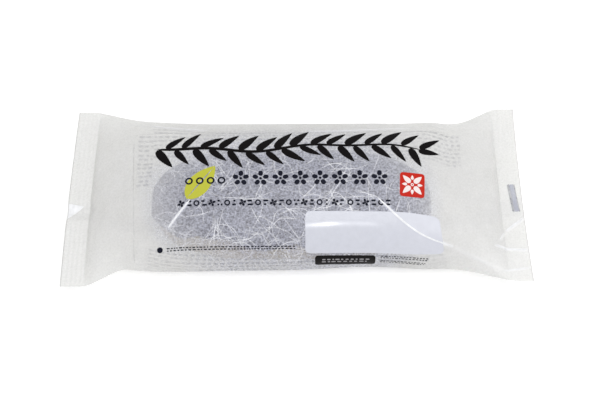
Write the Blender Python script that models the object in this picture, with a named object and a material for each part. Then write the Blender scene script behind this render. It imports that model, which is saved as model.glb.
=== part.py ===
"""A chocolate eclair sealed in a clear film pack, lying on a table.

The pack is a flow wrap: one web of film folded round the eclair into a tube, joined by a fin along
its back, pressed flat and crimped across both ends. It is shut all round, so it is one solid out
to the film. X runs along the pack, Y away from the reader and Z up. The origin is on the table
under the pack's middle.
"""

import math

import bmesh
import bpy

MM = 0.001

# Driving sizes of the pack
PACK_LENGTH = 200 * MM
FLAT_WIDTH = 86 * MM
PACK_HEIGHT = 31.5 * MM
MIDDLE_WIDTH = 69.6 * MM
SEAL_LENGTH = 10 * MM
SEAL_HEIGHT = 13.5 * MM
SEAL_THICKNESS = 0.8 * MM
WIDEST_HEIGHT = 10.5 * MM

# How the section changes along the pack: where each part of it starts to close towards the seals
TOP_SHOULDER = 30 * MM
BOTTOM_SHOULDER = 50 * MM
EDGE_SHOULDER = 50 * MM
PRESS_INTO_TABLE = 3.5 * MM
MIDDLE_SIDE_POWER = 0.88
BOTTOM_POWER = 0.6
LENS_POWER = 1.5

# Ribs that the sealing jaws press into both ends
RIB_COUNT = 5
RIB_HEIGHT = 0.3 * MM

# The back fin, folded flat against the pack, and the kink that it leaves in the left seal
FIN_MIDDLE = -8.6 * MM
FIN_WIDTH = 8 * MM
FIN_THICKNESS = 0.5 * MM
FIN_EDGE = 0.4 * MM
KINK_WIDTH = 3.4 * MM
KINK_DEPTH = 1.5 * MM

# Mesh spacing
BODY_STEPS = 60
STEPS_ACROSS = 24
FIRST_FIN_STEP = 13
LAST_FIN_STEP = 14

PACK_MATERIAL = "milky_film"
FILM_COLOUR = (0.70, 0.70, 0.69, 1.0)
FILM_ROUGHNESS = 0.3

HALF_LENGTH = PACK_LENGTH / 2
INNER_END = HALF_LENGTH - SEAL_LENGTH

# How the side folds flare out to the seal: (where it starts, where it ends, how late it opens)
FLARES = {
    ("left", "near"): (73 * MM, 92 * MM, 0.85),
    ("left", "far"): (40 * MM, 95 * MM, 1.5),
    ("right", "near"): (60 * MM, 95 * MM, 1.25),
    ("right", "far"): (60 * MM, 93 * MM, 1.6),
}

# Where a side fold pulls in or stands out a little: (side, middle of the stretch, reach, how far out)
SWAYS = (
    ("near", 31 * MM, 24 * MM, -2.1 * MM),
    ("near", -20 * MM, 30 * MM, -0.6 * MM),
    ("far", -58 * MM, 15 * MM, 1.2 * MM),
    ("far", 61 * MM, 9 * MM, 1.3 * MM),
)

# How far each corner of the seals hangs below the seal's middle, and stands in from the full length
CORNER_SAG = {
    ("left", "near"): 2.8 * MM,
    ("left", "far"): 0.8 * MM,
    ("right", "near"): 0.0 * MM,
    ("right", "far"): 0.2 * MM,
}
FAR_LEFT_INSET = 0.7 * MM
RIGHT_MIDDLE_INSET = 0.8 * MM

# Creases in the top film, in mm: (x, y) at each end, height, width
FOLDS = (
    ((-45, -13), (-54, -24), 0.9, 2.4),
    ((-56, -22), (-86, -36), 0.9, 3.6),
    ((34, -11), (56, -28), 0.9, 2.8),
    ((56, -28), (90, -38), 0.8, 3.0),
    ((-58, 14), (-86, 34), 0.8, 4.0),
    ((60, 16), (86, 35), 0.8, 4.0),
)


def clear_scene():
    """Removes every object, so that the part is all that the scene holds."""
    for obj in list(bpy.data.objects):
        bpy.data.objects.remove(obj, do_unlink=True)


def corner(x, y):
    """The names of the quarter of the pack that a point is in."""
    end = "left" if x < 0 else "right"
    side = "near" if y < 0 else "far"
    return end, side


def shoulder(x, start, power, roundness):
    """1 along the pack's middle, falling to 0 at the seals, from start on."""
    t = min(max((abs(x) - start) / (INNER_END - start), 0.0), 1.0)
    return (1.0 - t**power) ** (1.0 / roundness)


def half_width(x, y):
    """Distance of the side fold on y's side from the pack's centre line."""
    start, end, lateness = FLARES[corner(x, y)]
    t = min(max((abs(x) - start) / (end - start), 0.0), 1.0)
    opening = 0.5 - 0.5 * math.cos(math.pi * t**lateness)
    width = MIDDLE_WIDTH / 2 + (FLAT_WIDTH - MIDDLE_WIDTH) / 2 * opening
    for side, middle, reach, out in SWAYS:
        if side == corner(x, y)[1]:
            width += out * math.exp(-(((x - middle) / reach) ** 2))
    return width


def near_seal(x):
    """0 in the body, rising to 1 where the seal starts."""
    t = min(max((abs(x) - INNER_END + 15 * MM) / (15 * MM), 0.0), 1.0)
    return t * t


def seal_rise(x, y):
    """How far the film stands off the seal's plain level: sagging corners and the fin's kink."""
    across = 2.0 * y / FLAT_WIDTH
    rise = -CORNER_SAG[corner(x, y)] * across**2
    if x < 0:
        rise -= KINK_DEPTH * math.exp(-(((y - FIN_MIDDLE) / KINK_WIDTH) ** 2))
    return near_seal(x) * rise


def seal_inset(x, y):
    """How far the cut edge stands in from the pack's full length."""
    across = 2.0 * y / FLAT_WIDTH
    if x < 0:
        return near_seal(x) * FAR_LEFT_INSET * (0.5 + 0.5 * across)
    return near_seal(x) * RIGHT_MIDDLE_INSET * (1.0 - across**2)


def fold_rise(x, y):
    """Height of the diagonal creases at a point of the top film."""
    rise = 0.0
    for (x0, y0), (x1, y1), height, width in FOLDS:
        dx, dy = x1 - x0, y1 - y0
        px, py = x / MM - x0, y / MM - y0
        along = min(max((px * dx + py * dy) / (dx * dx + dy * dy), 0.0), 1.0)
        away = math.hypot(px - along * dx, py - along * dy)
        fade = math.sin(math.pi * (0.15 + 0.7 * along))
        rise += height * MM * fade * math.exp(-away / width)
    return rise


def rib_rise(x):
    """Zigzag of the crimped ribs, which run across the pack inside each seal."""
    into_seal = abs(x) - INNER_END
    if into_seal <= 0.0 or abs(x) >= HALF_LENGTH:
        return 0.0
    phase = into_seal / SEAL_LENGTH * RIB_COUNT
    return RIB_HEIGHT * (1.0 - abs(2.0 * (phase % 1.0) - 1.0))


def places_across(x):
    """Distances of the section's points from the centre line, from the far fold to the near one."""
    power = 1.0 + (MIDDLE_SIDE_POWER - 1.0) * shoulder(x, TOP_SHOULDER, 2.2, 1.5)
    before, after = [], []
    for i in range(STEPS_ACROSS + 1):
        c = math.cos(math.pi * i / STEPS_ACROSS)
        y = half_width(x, c) * math.copysign(abs(c) ** power, c)
        if i < FIRST_FIN_STEP:
            before.append(y)
        elif i > LAST_FIN_STEP:
            after.append(y)
    far = FIN_MIDDLE + FIN_WIDTH / 2
    near = FIN_MIDDLE - FIN_WIDTH / 2
    fin = [far + FIN_EDGE / 2, far - FIN_EDGE / 2, FIN_MIDDLE, near + FIN_EDGE / 2, near - FIN_EDGE / 2]
    return before + fin + after


def rise_of_arc(x, y, top_full):
    """Height of the section's arc over its widest level, 0 at the side folds and 1 at the middle."""
    power = 1.0 + (MIDDLE_SIDE_POWER - 1.0) * top_full
    c = min(abs(y) / half_width(x, y), 1.0) ** (1.0 / power)
    return math.sqrt(max(0.0, 1.0 - c * c))


def film_point(x, y, upper):
    """A point of the pack's skin over or under the place (x, y)."""
    top_full = shoulder(x, TOP_SHOULDER, 2.2, 1.5)
    bottom_full = shoulder(x, BOTTOM_SHOULDER, 2.2, 1.6)
    edge_full = shoulder(x, EDGE_SHOULDER, 2.0, 1.5)
    edge = SEAL_HEIGHT + (WIDEST_HEIGHT - SEAL_HEIGHT) * edge_full
    arc = rise_of_arc(x, y, top_full)
    skin = SEAL_THICKNESS / 2 * min(1.0, 6.0 * arc) * (1.0 - top_full)
    if upper:
        power = LENS_POWER + (1.0 - LENS_POWER) * top_full
        top = SEAL_HEIGHT + (PACK_HEIGHT - SEAL_HEIGHT) * top_full
        z = edge + (top - edge) * arc**power + fold_rise(x, y) * arc + skin
    else:
        power = LENS_POWER + (BOTTOM_POWER - LENS_POWER) * bottom_full
        bottom = SEAL_HEIGHT - (SEAL_HEIGHT + PRESS_INTO_TABLE) * bottom_full
        z = edge - (edge - bottom) * arc**power - skin
        if abs(y - FIN_MIDDLE) < FIN_WIDTH / 2:
            z -= FIN_THICKNESS
    z += seal_rise(x, y) + rib_rise(x)
    return x - math.copysign(seal_inset(x, y), x), y, max(0.0, z)


def stations():
    """Places along the pack where its section is drawn: even in the body, at each rib in a seal."""
    body = [INNER_END * (2.0 * i / BODY_STEPS - 1.0) for i in range(BODY_STEPS + 1)]
    rib_half = SEAL_LENGTH / (2 * RIB_COUNT)
    seal = [INNER_END + rib_half * (i + 1) for i in range(2 * RIB_COUNT)]
    return [-x for x in reversed(seal)] + body + seal


def add_section(bm, x):
    """The section at x as two rows of vertices, over and under, that share both side folds."""
    places = places_across(x)
    over = [bm.verts.new(film_point(x, y, True)) for y in places]
    under = [bm.verts.new(film_point(x, y, False)) for y in places[1:-1]]
    return over, [over[0]] + under + [over[-1]]


def join_rows(bm, first, second):
    """Faces between two rows of vertices; where the rows meet in one vertex it is a triangle."""
    for i in range(len(first) - 1):
        corners = []
        for vert in (first[i], first[i + 1], second[i + 1], second[i]):
            if vert not in corners:
                corners.append(vert)
        bm.faces.new(corners)


def pack_mesh():
    """Lofts the sections into one closed skin and closes the cut edge at each end."""
    bm = bmesh.new()
    sections = [add_section(bm, x) for x in stations()]
    for one, other in zip(sections, sections[1:]):
        join_rows(bm, one[0], other[0])
        join_rows(bm, one[1], other[1])
    for over, under in (sections[0], sections[-1]):
        join_rows(bm, over, under)
    bmesh.ops.recalc_face_normals(bm, faces=bm.faces)
    bmesh.ops.triangulate(bm, faces=bm.faces)
    mesh = bpy.data.meshes.new("sealed_pack")
    bm.to_mesh(mesh)
    bm.free()
    return mesh


def film_material():
    """White-tinted clear packing film, glossy and a little see-through."""
    material = bpy.data.materials.new(PACK_MATERIAL)
    material.use_nodes = True
    shader = material.node_tree.nodes["Principled BSDF"]
    shader.inputs["Base Color"].default_value = FILM_COLOUR
    shader.inputs["Roughness"].default_value = FILM_ROUGHNESS
    return material


def main():
    clear_scene()
    collection = bpy.data.collections.new("packed_eclair")
    bpy.context.scene.collection.children.link(collection)
    pack = bpy.data.objects.new("sealed_pack", pack_mesh())
    pack.data.materials.append(film_material())
    collection.objects.link(pack)


main()
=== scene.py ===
"""A chocolate eclair in a milky film pack: the film, its print and what shows through it.

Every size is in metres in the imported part's frame: X runs along the pack, Y away from the reader
and Z up, with the origin on the table under the pack's middle. A place on the film is given in
film millimetres, (along, across): along X, and round the pack from the middle of its printed side,
positive towards the far fold.
"""

import bisect
import math
import random
from functools import lru_cache

import bmesh
import bpy
from bpy.props import FloatProperty, FloatVectorProperty, IntProperty, PointerProperty
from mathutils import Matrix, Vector, noise
from mathutils.bvhtree import BVHTree


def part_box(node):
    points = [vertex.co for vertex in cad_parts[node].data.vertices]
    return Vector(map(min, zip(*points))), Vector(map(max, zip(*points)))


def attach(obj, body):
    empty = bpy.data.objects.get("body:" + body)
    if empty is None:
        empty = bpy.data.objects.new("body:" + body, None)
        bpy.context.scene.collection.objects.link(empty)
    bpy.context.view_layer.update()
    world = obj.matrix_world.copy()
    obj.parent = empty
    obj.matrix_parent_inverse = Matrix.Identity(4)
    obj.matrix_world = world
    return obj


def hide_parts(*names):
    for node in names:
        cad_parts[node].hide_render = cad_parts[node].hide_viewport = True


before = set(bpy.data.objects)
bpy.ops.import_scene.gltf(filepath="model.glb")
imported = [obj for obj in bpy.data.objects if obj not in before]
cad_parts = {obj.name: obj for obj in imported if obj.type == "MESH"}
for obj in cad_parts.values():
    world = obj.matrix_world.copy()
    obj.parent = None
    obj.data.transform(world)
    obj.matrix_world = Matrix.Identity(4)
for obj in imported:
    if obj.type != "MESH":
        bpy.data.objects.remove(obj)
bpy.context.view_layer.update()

bl_info = {
    "name": "Packed eclair",
    "version": (1, 0, 0),
    "blender": (4, 5, 0),
    "location": "View3D > Sidebar > Eclair",
    "description": "Models a chocolate eclair sealed in milky film",
    "category": "Add Mesh",
}

MM = 0.001
PACK_NODE = "sealed_pack"
PACK_LOW, PACK_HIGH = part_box(PACK_NODE)

# Sizes of the pack, as in the part
HALF_LENGTH = (PACK_HIGH.x - PACK_LOW.x) / 2
FLAT_WIDTH = PACK_HIGH.y - PACK_LOW.y
PACK_HEIGHT = PACK_HIGH.z - PACK_LOW.z
MIDDLE_WIDTH = 69.6 * MM
SEAL_LENGTH = 10 * MM
SEAL_HEIGHT = 13.5 * MM
SEAL_APPROACH = 15 * MM
WIDEST_HEIGHT = 10.5 * MM
INNER_END = HALF_LENGTH - SEAL_LENGTH
TOP_SHOULDER = 30 * MM
BOTTOM_SHOULDER = 50 * MM
EDGE_SHOULDER = 50 * MM
PRESS_INTO_TABLE = 3.5 * MM
MIDDLE_SIDE_POWER = 0.88
BOTTOM_POWER = 0.6
LENS_POWER = 1.5
FLARES = {
    ("left", "near"): (73 * MM, 92 * MM, 0.85),
    ("left", "far"): (40 * MM, 95 * MM, 1.5),
    ("right", "near"): (60 * MM, 95 * MM, 1.25),
    ("right", "far"): (60 * MM, 93 * MM, 1.6),
}
SWAYS = (
    ("near", 31 * MM, 24 * MM, -2.1 * MM),
    ("near", -20 * MM, 30 * MM, -0.6 * MM),
    ("far", -58 * MM, 15 * MM, 1.2 * MM),
    ("far", 61 * MM, 9 * MM, 1.3 * MM),
)
CORNER_SAG = {
    ("left", "near"): 2.8 * MM,
    ("left", "far"): 0.8 * MM,
    ("right", "near"): 0.0 * MM,
    ("right", "far"): 0.2 * MM,
}
FAR_LEFT_INSET = 0.7 * MM
RIGHT_MIDDLE_INSET = 0.8 * MM
RIB_COUNT = 5
RIB_HEIGHT = 0.12 * MM
FIN_MIDDLE = -8.6 * MM
FIN_WIDTH = 8 * MM
KINK_WIDTH = 3.4 * MM
KINK_DEPTH = 1.5 * MM
FIN_THICKNESS = 0.15 * MM
FIN_GAP = 0.32 * MM

# Where the film starts to dip under the label, and how steeply, which bends the lamp's reflection
SAG_START = 14 * MM
SAG_SOFTNESS = 3 * MM
SAG_SLOPE = 0.055
SAG_ROW = -23 * MM
SAG_REACH = 14 * MM
SAG_FADE_START = 45 * MM
SAG_FADE_LENGTH = 40 * MM

# Where the eclair and the label's ink pull the film taut, so that it hardly ripples
TAUT_MIDDLE = 22 * MM
TAUT_REACH = 26 * MM

# The film's own detail
LAYER_GAP = 0.12 * MM
BACK_CLEARANCE = 0.4 * MM
INK_LIFT = 0.06 * MM
OVERPRINT_LIFT = 1.6 * INK_LIFT
CREASE_LIFT = 2.2 * INK_LIFT
FIBRE_LIFT = 0.04 * MM
FILM_STEPS_ALONG = 270
FILM_STEPS_ROUND = 280
SEAL_SHARE = 0.15
GIRTH_STEPS = 120

# How far off the eclair the film still lies close, and how far off it hazes what is behind it
CLOSE_GAP = 3 * MM
CLEAR_GAP = 10 * MM

# Creases in the top film, in mm: (points (x, y), height, width, strength of the painted glint along
# the fold)
CREASES = (
    (((-53.4, -22.9), (-49.2, -17.8), (-44.5, -12.1)), 0.45, 0.55, 1.0),
    (((34.6, -11.8), (38.6, -15.3), (44.4, -20.4), (53.6, -26.0), (66.1, -29.3)), 0.15, 0.6, 1.0),
    (((66.1, -29.3), (75.0, -33.2), (87.7, -38.4)), 0.35, 0.9, 0.25),
    (((91.0, -19.6), (95.0, -16.6), (99.0, -13.7)), 0.35, 0.5, 1.0),
    (((87.1, -25.0), (90.0, -20.6)), 0.25, 0.6, 0.4),
    (((84.8, -27.9), (92.0, -28.4), (99.0, -28.6)), 0.3, 0.5, 1.0),
    (((87.7, -38.4), (99.3, -36.9)), 0.25, 0.55, 0.45),
    (((-65.2, 30.4), (-52.0, 26.0), (-39.0, 24.4)), 0.3, 0.6, 0.5),
    (((6.4, 23.0), (28.0, 23.6), (49.3, 25.8)), 0.25, 0.6, 0.4),
    (((-88.0, -38.0), (-72.0, -30.0), (-56.0, -24.0)), 0.5, 2.4, 0.0),
    (((-88.0, 36.0), (-76.0, 26.0), (-62.0, 16.0)), 0.5, 2.8, 0.0),
    (((-84.5, 30.0), (-84.0, 4.0)), 0.2, 0.8, 0.0),
    (((-80.5, 24.0), (-79.0, 8.0)), 0.2, 0.9, 0.0),
    (((-73.5, 26.0), (-72.5, 6.0)), 0.2, 0.7, 0.0),
    (((62.0, 17.0), (76.0, 27.0), (88.0, 36.0)), 0.5, 2.8, 0.0),
)

# Creases whose painted glint is stronger than this also get a painted highlight line
FAINTEST_CREASE = 0.3

# Where the eclair lies in the pack: its middle, its underside, and the height of its waist
ECLAIR_MIDDLE = Vector((-2.0 * MM, -5.4 * MM, 0.0))
ECLAIR_BOTTOM = 0.7 * MM
ECLAIR_WAIST = 10.5 * MM
ICING_DEPTH = 1.4 * MM
ICING_SHARE = 0.93

# Where the icing leaves the crust bare on the near side: (middle, reach, degrees higher)
BARE_PATCHES = (
    (-60 * MM, 9 * MM, 20.0),
    (-43 * MM, 5 * MM, 11.0),
    (-31 * MM, 9 * MM, 16.0),
    (-2 * MM, 6 * MM, 10.0),
)

# The print's layout in film mm: the middle of each field, its size along and across, its turn
BRANCH_START = -60
BRANCH_END = 57
BRANCH_LEAVES = 30
LEAF_PITCH = 3.9
BLOSSOM_ROW = (-23.3, -2.7)
BLOSSOM_PITCH = 8.4
BLOSSOM_RADIUS = 3.5
RING_ROW = (-45.2, -3.6)
RING_PITCH = 4.6
BORDER_ROW = (-49.8, -13.7)
BORDER_PITCH = 3.23
BORDER_HEIGHT = 3.1
DOT_PLACE = (-57.3, -32.9)
LEAF_PLACE = (-46.0, -11.6)
LEAF_SIZE = (19.0, 9.5)
LEAF_TURN = math.radians(52)
STAMP_PLACE = (49.3, -5.5)
STAMP_SIZE = (10.6, 11.0)
STAMP_TURN = math.radians(-3)
LABEL_PLACE = (32.9, -26.7)
LABEL_SIZE = (58.1, 18.4)
BAR_PLACE = (20.8, -40.4)
BAR_SIZE = (25.7, 6.4)
MARK_ROW = -3.4
MARK_LENGTH = 13.5
MARK_TURN = math.radians(5)
BACK_ROWS_START = -66.0

# The part of the film that has fibres, in film mm: on the top, on the back, and along the pack
TOP_FIELD = (-42, 24)
BACK_FIELD = (50, 85)
FIELD_END = 69
FIBRE_STEP = 1.1
TUFT_COUNT = 14
FIBRES_IN_TUFT = 6

# The photograph's view, and the two lamps
CAMERA_TARGET = Vector((1.8 * MM, -1.8 * MM, 10 * MM))
CAMERA_ELEVATION = math.radians(62.0)
CAMERA_AZIMUTH = math.radians(-0.39)
CAMERA_DISTANCE = 454 * MM
LENS_LENGTH_IN_MM = 61.6
OVERHEAD_PLACE = Vector((0.3, -0.05, 1.2))
OVERHEAD_SIZE = 1.05
KEY_PLACE = Vector((0.15, -0.78, 1.3))
KEY_SIZE = 0.04
LIT_PLACE = Vector((0.0, 0.0, 10 * MM))
FLOOR_RADIUS = 4.0


def linear(hex_colour):
    """An sRGB hex colour such as c8372d as linear red, green and blue."""
    channels = [int(hex_colour[i : i + 2], 16) / 255 for i in (0, 2, 4)]
    return tuple(c / 12.92 if c <= 0.04045 else ((c + 0.055) / 1.055) ** 2.4 for c in channels)


def colour_property(name, description, hex_colour):
    """A colour that a user can change, which starts from an sRGB hex value."""
    return FloatVectorProperty(
        name=name,
        description=description,
        subtype="COLOR",
        size=3,
        min=0.0,
        max=1.0,
        default=linear(hex_colour),
    )


class FilmSettings(bpy.types.PropertyGroup):
    """Looks of the packing film."""

    milkiness: FloatProperty(
        name="Milkiness",
        description="Share of the light that the film's white print stops",
        subtype="FACTOR",
        min=0.0,
        max=1.0,
        default=0.54,
    )
    # Painted light: the film is drawn bluer where it lies close to the eclair, for the bluish light it
    # scatters over the dark eclair
    close: colour_property("Close film", "Film where it lies close to the eclair", "e6e9fb")
    clear: colour_property("Clear film", "Film where it stands clear of the eclair", "f4f4f7")
    passed: colour_property("Passed light", "Tint of what shows through the film", "f4f4ef")
    # The real specks and fibres are finer: these are as coarse as they must be to show
    grain: FloatProperty(
        name="Grain",
        description="Size of the specks in the film's paper-like print",
        unit="LENGTH",
        default=0.85 * MM,
    )
    fibre_count: IntProperty(
        name="Fibres", description="Number of printed paper fibres", min=0, default=400
    )
    fibre_width: FloatProperty(
        name="Fibre width", description="Widest part of a fibre", unit="LENGTH", default=0.34 * MM
    )


class EclairSettings(bpy.types.PropertyGroup):
    """Sizes and colours of the eclair in the pack."""

    length: FloatProperty(
        name="Length", description="Length of the choux shell", unit="LENGTH", default=118 * MM
    )
    width: FloatProperty(
        name="Width", description="Width of the choux shell", unit="LENGTH", default=48 * MM
    )
    height: FloatProperty(
        name="Height", description="Height of the shell without icing", unit="LENGTH", default=26 * MM
    )
    icing: FloatProperty(
        name="Icing", description="Thickness of the icing", unit="LENGTH", default=1.6 * MM
    )
    crust: colour_property("Crust", "Browned choux crust", "8c7653")
    pale_crust: colour_property("Pale crust", "Choux where it baked less", "beb08c")
    chocolate: colour_property("Chocolate", "Dark icing", "2a1b17")


class PrintSettings(bpy.types.PropertyGroup):
    """Colours of the inks on the film."""

    black: colour_property("Black", "Ink of the large brush marks", "100d0e")
    blue_black: colour_property("Blue black", "Ink of the small marks", "191b28")
    red: colour_property("Red", "Ink of the stamp", "c22a1e")
    green: colour_property("Green", "Ink of the leaf", "bdbe45")
    white: colour_property("White", "Ink of the label panel", "d8dae4")
    grey: colour_property("Grey", "Register mark on the seal", "b3b6c8")


class StageSettings(bpy.types.PropertyGroup):
    """Floor, light and camera."""

    floor: colour_property("Floor", "Colour of the studio floor", "f6f6f6")
    glow: FloatProperty(
        name="Table glow", description="Light that comes up through the table", min=0.0, default=0.29
    )
    sky: FloatProperty(
        name="Fill light", description="Strength of the light from all round", min=0.0, default=0.58
    )
    key: FloatProperty(
        name="Key light", description="Power of the lamp over the camera", min=0.0, default=1.6
    )
    overhead: FloatProperty(
        name="Top light", description="Power of the soft box overhead", min=0.0, default=7.8
    )


def corner(x, y):
    """The names of the quarter of the pack that a point is in."""
    end = "left" if x < 0 else "right"
    side = "near" if y < 0 else "far"
    return end, side


def shoulder(x, start, power, roundness):
    """1 along the pack's middle, falling to 0 at the seals, from start on."""
    t = min(max((abs(x) - start) / (INNER_END - start), 0.0), 1.0)
    return (1.0 - t**power) ** (1.0 / roundness)


def half_width(x, y):
    """Distance of the side fold on y's side from the pack's centre line."""
    start, end, lateness = FLARES[corner(x, y)]
    t = min(max((abs(x) - start) / (end - start), 0.0), 1.0)
    opening = 0.5 - 0.5 * math.cos(math.pi * t**lateness)
    width = MIDDLE_WIDTH / 2 + (FLAT_WIDTH - MIDDLE_WIDTH) / 2 * opening
    for side, middle, reach, out in SWAYS:
        if side == corner(x, y)[1]:
            width += out * math.exp(-(((x - middle) / reach) ** 2))
    return width


def near_seal(x):
    """0 in the body, rising to 1 where the seal starts."""
    t = min(max((abs(x) - INNER_END + SEAL_APPROACH) / SEAL_APPROACH, 0.0), 1.0)
    return t * t


def seal_rise(x, y):
    """How far the film stands off the seal's plain level: sagging corners and the fin's kink."""
    across = 2.0 * y / FLAT_WIDTH
    rise = -CORNER_SAG[corner(x, y)] * across**2
    if x < 0:
        rise -= KINK_DEPTH * math.exp(-(((y - FIN_MIDDLE) / KINK_WIDTH) ** 2))
    return near_seal(x) * rise


def seal_inset(x, y):
    """How far the cut edge stands in from the pack's full length."""
    across = 2.0 * y / FLAT_WIDTH
    if x < 0:
        return near_seal(x) * FAR_LEFT_INSET * (0.5 + 0.5 * across)
    return near_seal(x) * RIGHT_MIDDLE_INSET * (1.0 - across**2)


def rib_rise(x):
    """Zigzag of the crimped ribs, which run across the pack inside each seal."""
    into_seal = abs(x) - INNER_END
    if into_seal <= 0.0 or abs(x) >= HALF_LENGTH:
        return 0.0
    phase = into_seal / SEAL_LENGTH * RIB_COUNT
    return RIB_HEIGHT * (1.0 - abs(2.0 * (phase % 1.0) - 1.0))


def cut_corners(points):
    """Cuts the corners of a course of points twice, keeping its ends."""
    for _ in range(2):
        cut = [points[0]]
        for (x0, y0), (x1, y1) in zip(points, points[1:]):
            cut.append((0.75 * x0 + 0.25 * x1, 0.75 * y0 + 0.25 * y1))
            cut.append((0.25 * x0 + 0.75 * x1, 0.25 * y0 + 0.75 * y1))
        points = cut + [points[-1]]
    return points


# The creases with their bends rounded; the last value is the strength of their painted glint
COURSES = [(cut_corners(points), height, width, white) for points, height, width, white in CREASES]


def crease_at(x, y):
    """Height of the creases, and strength of the painted glint along them, at a place of the top film.
    """
    rise, white = 0.0, 0.0
    px, py = x / MM, y / MM
    for points, height, width, glint_strength in COURSES:
        reach = 5.0 * width
        if not points[0][0] - reach < px < points[-1][0] + reach:
            continue
        last = len(points) - 1
        for i, ((x0, y0), (x1, y1)) in enumerate(zip(points, points[1:])):
            dx, dy = x1 - x0, y1 - y0
            along = min(max(((px - x0) * dx + (py - y0) * dy) / (dx * dx + dy * dy), 0.0), 1.0)
            away = math.hypot(px - x0 - along * dx, py - y0 - along * dy)
            if away > reach:
                continue
            fade = math.sin(math.pi * (0.04 + 0.92 * (i + along) / last)) ** 0.5
            rise = max(rise, height * MM * fade * math.exp(-away / width))
            # white is the strength of the painted glint, highest on the fold's line
            white = max(white, glint_strength * fade * math.exp(-((away / width) ** 2)))
    return rise, white


def ripple(x, y):
    """Shallow waves in the slack film: broad ones, pulls that fan out from the seals, and a sag."""
    broad = noise.noise(Vector((x / (16 * MM), y / (11 * MM), 0.0)))
    fine = noise.noise(Vector((x / (6 * MM), y / (5 * MM), 7.0)))
    pulls = noise.noise(Vector((x / (30 * MM), y / (4 * MM), 13.0))) * near_seal(x)
    taut = math.exp(-(((x - TAUT_MIDDLE) / TAUT_REACH) ** 4) - ((y - SAG_ROW) / SAG_REACH) ** 2)
    return (0.1 * pulls + (1.0 - 0.95 * taut) * (0.12 * broad + 0.03 * fine)) * MM - label_sag(x, y)


def label_sag(x, y):
    """How far the film under the label dips to the right of its bend."""
    beside = math.exp(-(((y - SAG_ROW) / SAG_REACH) ** 2))
    past = min(max((x - SAG_FADE_START) / SAG_FADE_LENGTH, 0.0), 1.0)
    bend = SAG_SOFTNESS / MM * math.log1p(math.exp((x - SAG_START) / SAG_SOFTNESS))
    return SAG_SLOPE * bend * beside * (1.0 - past * past * (3.0 - 2.0 * past)) * MM


def film_point(x, turn):
    """A point of the film. turn is 0 on the top's middle, 0.5 at the far fold, 1 on the back."""
    across, arc = math.sin(math.pi * turn), math.cos(math.pi * turn)
    top_full = shoulder(x, TOP_SHOULDER, 2.2, 1.5)
    bottom_full = shoulder(x, BOTTOM_SHOULDER, 2.2, 1.6)
    edge_full = shoulder(x, EDGE_SHOULDER, 2.0, 1.5)
    edge = SEAL_HEIGHT + (WIDEST_HEIGHT - SEAL_HEIGHT) * edge_full
    side_power = 1.0 + (MIDDLE_SIDE_POWER - 1.0) * top_full
    y = half_width(x, across) * math.copysign(abs(across) ** side_power, across)
    relief = (crease_at(x, y)[0] + ripple(x, y)) * abs(arc)
    gap = LAYER_GAP if abs(x) < HALF_LENGTH - 0.01 * MM else 0.0
    if arc >= 0.0:
        power = LENS_POWER + (1.0 - LENS_POWER) * top_full
        top = SEAL_HEIGHT + (PACK_HEIGHT - SEAL_HEIGHT) * top_full
        z = edge + (top - edge) * arc**power + relief + gap * min(1.0, 6.0 * arc)
    else:
        power = LENS_POWER + (BOTTOM_POWER - LENS_POWER) * bottom_full
        bottom = SEAL_HEIGHT - (SEAL_HEIGHT + PRESS_INTO_TABLE) * bottom_full
        pressed = 1.0 if abs(x) > INNER_END else 0.4
        z = edge - (edge - bottom) * (-arc) ** power + relief * pressed - gap * min(1.0, -6.0 * arc)
    z += seal_rise(x, y) + rib_rise(x)
    return Vector((x - math.copysign(seal_inset(x, y), x), y, max(BACK_CLEARANCE, z)))


@lru_cache(maxsize=None)
def girth(millimetre, side):
    """Running length of film round the pack at a whole millimetre, from the top's middle on."""
    x = min(max(millimetre * MM, -HALF_LENGTH), HALF_LENGTH)
    lengths = [0.0]
    last = film_point(x, 0.0)
    for i in range(1, GIRTH_STEPS + 1):
        point = film_point(x, side * i / GIRTH_STEPS)
        lengths.append(lengths[-1] + (point - last).length)
        last = point
    return lengths


def turn_at(x, across):
    """The turn round the pack that lies across metres of film from the top's middle."""
    side = 1 if across >= 0 else -1
    turns = []
    whole = math.floor(x / MM)
    for millimetre in (whole, whole + 1):
        lengths = girth(millimetre, side)
        i = min(bisect.bisect_right(lengths, abs(across)), GIRTH_STEPS) - 1
        part = (abs(across) - lengths[i]) / max(lengths[i + 1] - lengths[i], 1e-9)
        turns.append(min((i + part) / GIRTH_STEPS, 1.0))
    blend = x / MM - whole
    return side * (turns[0] * (1.0 - blend) + turns[1] * blend)


def on_film(x, across, lift):
    """The place that stands lift off the film at x, across metres of film from the top's middle."""
    reach = 0.3 * MM
    point = film_point(x, turn_at(x, across))
    ahead = film_point(x + reach, turn_at(x + reach, across)) - point
    aside = film_point(x, turn_at(x, across + reach)) - point
    return point + ahead.cross(aside).normalized() * lift


def add_node(material, kind, values=None, links=None, **options):
    """Adds one node: values fill its sockets, links join outputs to them, options are its settings."""
    node = material.node_tree.nodes.new(kind)
    for name, option in options.items():
        setattr(node, name, option)
    for socket, value in (values or {}).items():
        node.inputs[socket].default_value = value
    for socket, output in (links or {}).items():
        material.node_tree.links.new(output, node.inputs[socket])
    return node


def new_material(name):
    """An empty node material."""
    material = bpy.data.materials.new(name)
    material.use_nodes = True
    material.node_tree.nodes.clear()
    return material


def opaque(colour):
    """A colour with full alpha, for a colour socket."""
    return (colour[0], colour[1], colour[2], 1.0)


def speckle(material, size, low, high, detail=2.0):
    """Noise specks of a real size, spread from low to high."""
    place = add_node(material, "ShaderNodeTexCoord").outputs["Object"]
    specks = add_node(
        material,
        "ShaderNodeTexNoise",
        values={"Scale": 1.0 / size, "Detail": detail, "Roughness": 0.6},
        links={"Vector": place},
    )
    return add_node(
        material,
        "ShaderNodeMapRange",
        values={"From Min": 0.3, "From Max": 0.7, "To Min": low, "To Max": high},
        links={"Value": specks.outputs["Fac"]},
    ).outputs["Result"]


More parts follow.
